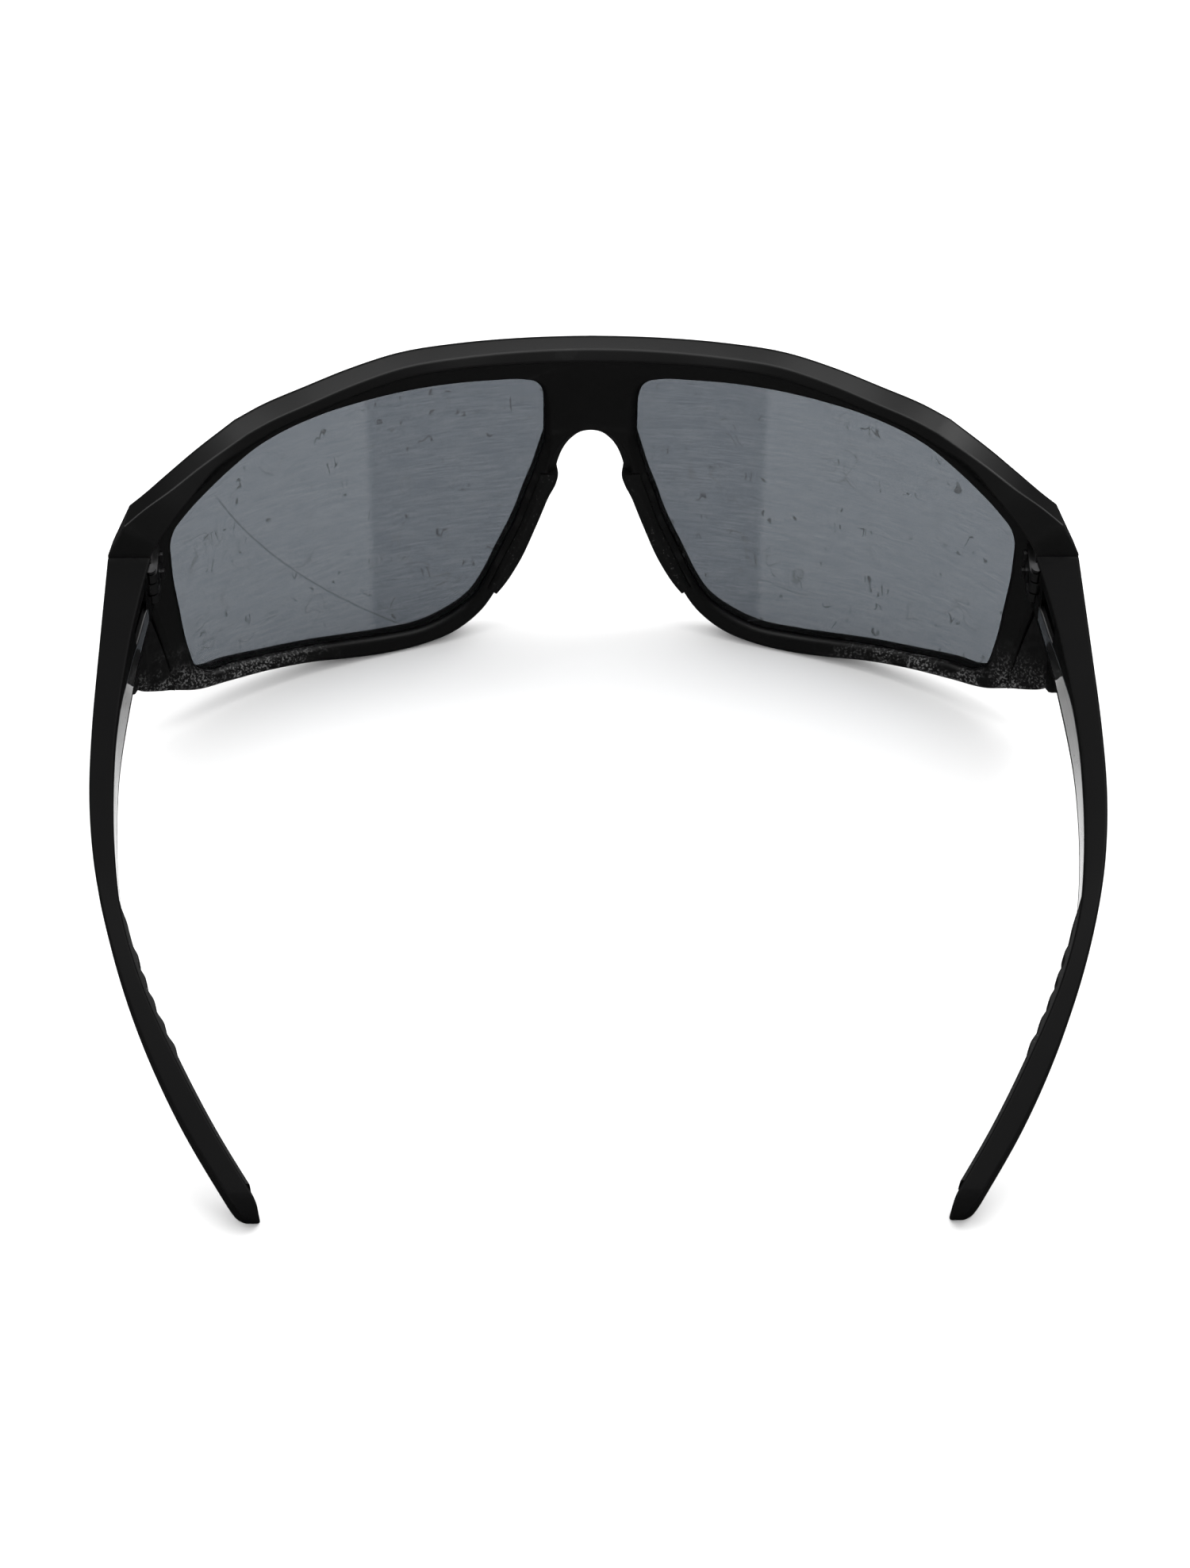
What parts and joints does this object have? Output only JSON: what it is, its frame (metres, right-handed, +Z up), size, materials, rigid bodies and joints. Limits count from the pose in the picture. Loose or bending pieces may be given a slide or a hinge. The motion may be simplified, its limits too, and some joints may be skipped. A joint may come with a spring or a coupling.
{
  "type": "wraparound sunglasses",
  "caption": "Full-rim wraparound sport sunglasses with smoke lenses, folding bent-down temples, soft nose pads and ribbed ear grips, standing open on rims and temple tips.",
  "frame": {"origin": "middle of the footprint of the open glasses, on the table plane", "axes": "+X towards the wearer's left, -Y forwards and away from the face, +Z up; the plane x = 0 is the plane of symmetry"},
  "size_m": [0.1532, 0.1524, 0.0577],
  "materials": {
    "frame": "matte black injection-moulded nylon, faintly grained, polished by wear along its edges",
    "lens": "polished smoke-grey polycarbonate with fine scratches",
    "rubber": "soft matte black elastomer",
    "liner": "satin black plastic with fine scuffs",
    "steel": "plain stainless steel"
  },
  "bodies": {
    "front": {"frame_front": "frame", "lens_left": "lens", "nose_pad_left": "rubber", "hinge_frame_leaf_left": "steel", "hinge_pivot_screw_left": "steel", "frame_leaf_screw_upper_left": "steel", "frame_leaf_screw_lower_left": "steel", "lens_right": "lens", "nose_pad_right": "rubber", "hinge_frame_leaf_right": "steel", "hinge_pivot_screw_right": "steel", "frame_leaf_screw_upper_right": "steel", "frame_leaf_screw_lower_right": "steel"},
    "temple_left": {"temple_left": "frame", "temple_liner_left": "liner", "ear_grip_left": "rubber", "hinge_temple_leaf_left": "steel", "temple_leaf_screw_front_left": "steel", "temple_leaf_screw_rear_left": "steel"},
    "temple_right": {"temple_right": "frame", "temple_liner_right": "liner", "ear_grip_right": "rubber", "hinge_temple_leaf_right": "steel", "temple_leaf_screw_front_right": "steel", "temple_leaf_screw_rear_right": "steel"}
  },
  "joints": [
    {"name": "temple_fold_left", "type": "hinge", "parent": "front", "child": "temple_left", "pos_m": [0.0699, -0.03299, 0.0346], "axis": [0, 0.1908, 0.9816], "range_deg": [0, 88]},
    {"name": "temple_fold_right", "type": "hinge", "parent": "front", "child": "temple_right", "pos_m": [-0.0699, -0.03299, 0.0346], "axis": [0, -0.1908, -0.9816], "range_deg": [0, 72]}
  ]
}
